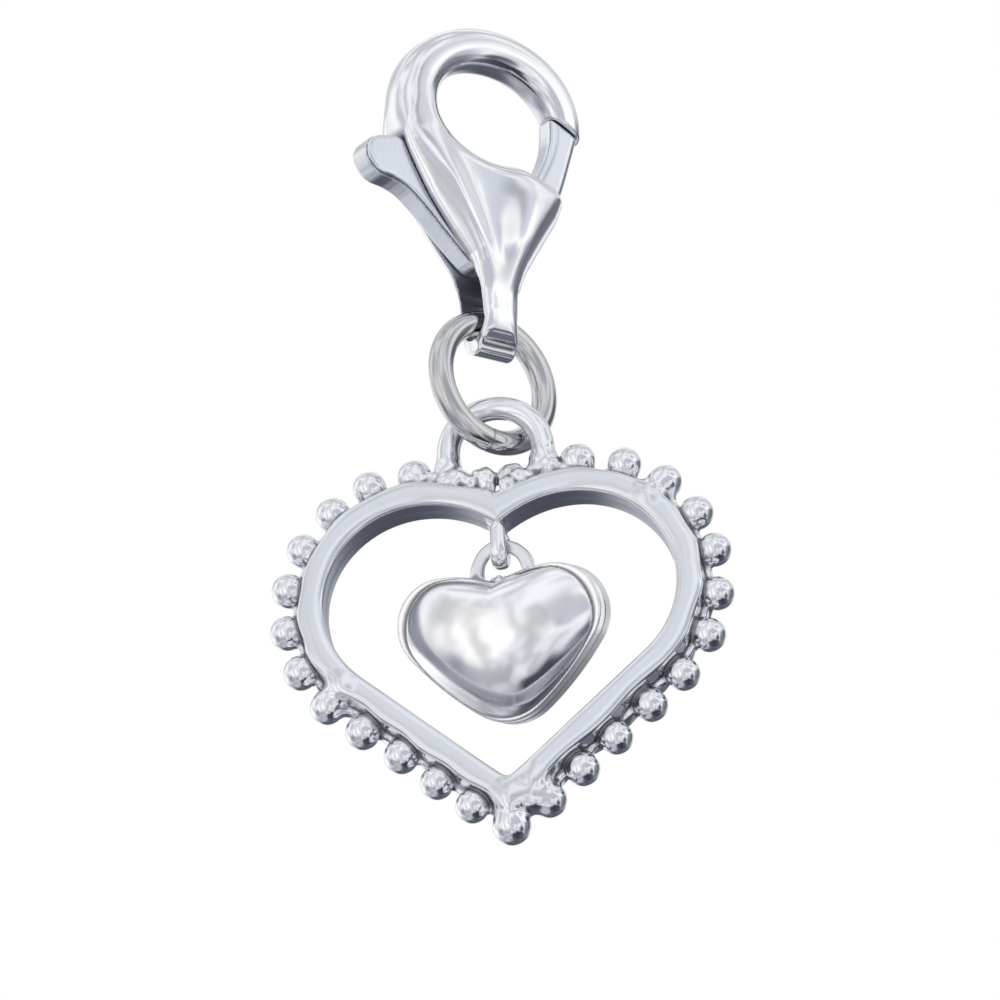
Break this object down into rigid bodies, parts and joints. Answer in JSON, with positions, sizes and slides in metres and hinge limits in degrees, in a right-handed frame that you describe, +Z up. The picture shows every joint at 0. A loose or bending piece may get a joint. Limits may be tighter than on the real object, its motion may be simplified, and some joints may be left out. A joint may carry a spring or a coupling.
{
  "type": "double heart charm",
  "caption": "Silver clip-on charm: a lobster clasp and jump ring carry an open heart edged with round grains, with a small puffed heart hanging inside it.",
  "frame": {"origin": "inside top of the clasp's hook, where a bracelet link or carrier sits", "axes": "+Z up along the line of pull; the outer heart's front faces -Y and its width runs along X"},
  "size_m": [0.0162, 0.0066, 0.0306],
  "materials": {
    "polished_silver": "polished silver",
    "brushed_silver": "silver with a fine brushed face"
  },
  "bodies": {
    "clasp": {"clasp_body": "polished_silver", "clasp_rivet": "polished_silver"},
    "lever": {"clasp_lever": "brushed_silver"},
    "ring": {"jump_ring": "polished_silver"},
    "heart": {"heart_frame": "polished_silver"},
    "drop": {"inner_heart": "polished_silver"}
  },
  "joints": [
    {"name": "lever_hinge", "type": "hinge", "parent": "clasp", "child": "lever", "pos_m": [0.00037, 0.00033, -0.0069], "axis": [0.6691, -0.7431, 0], "range_deg": [0, 20], "stiffness_Nm_per_rad": 0.0005, "springref_deg": -20.05},
    {"name": "ring_swing", "type": "hinge", "parent": "clasp", "child": "ring", "pos_m": [0, 0, -0.00974], "axis": [0.7071, 0.7071, 0], "range_deg": [-18, 18]},
    {"name": "heart_swing", "type": "hinge", "parent": "ring", "child": "heart", "pos_m": [0, 0, -0.01416], "axis": [0.7071, 0.7071, 0], "range_deg": [-18, 18]},
    {"name": "inner_heart_swing", "type": "hinge", "parent": "heart", "child": "drop", "pos_m": [0, 0.00002, -0.0181], "axis": [0.9781, -0.2079, 0], "range_deg": [-25, 25]}
  ]
}
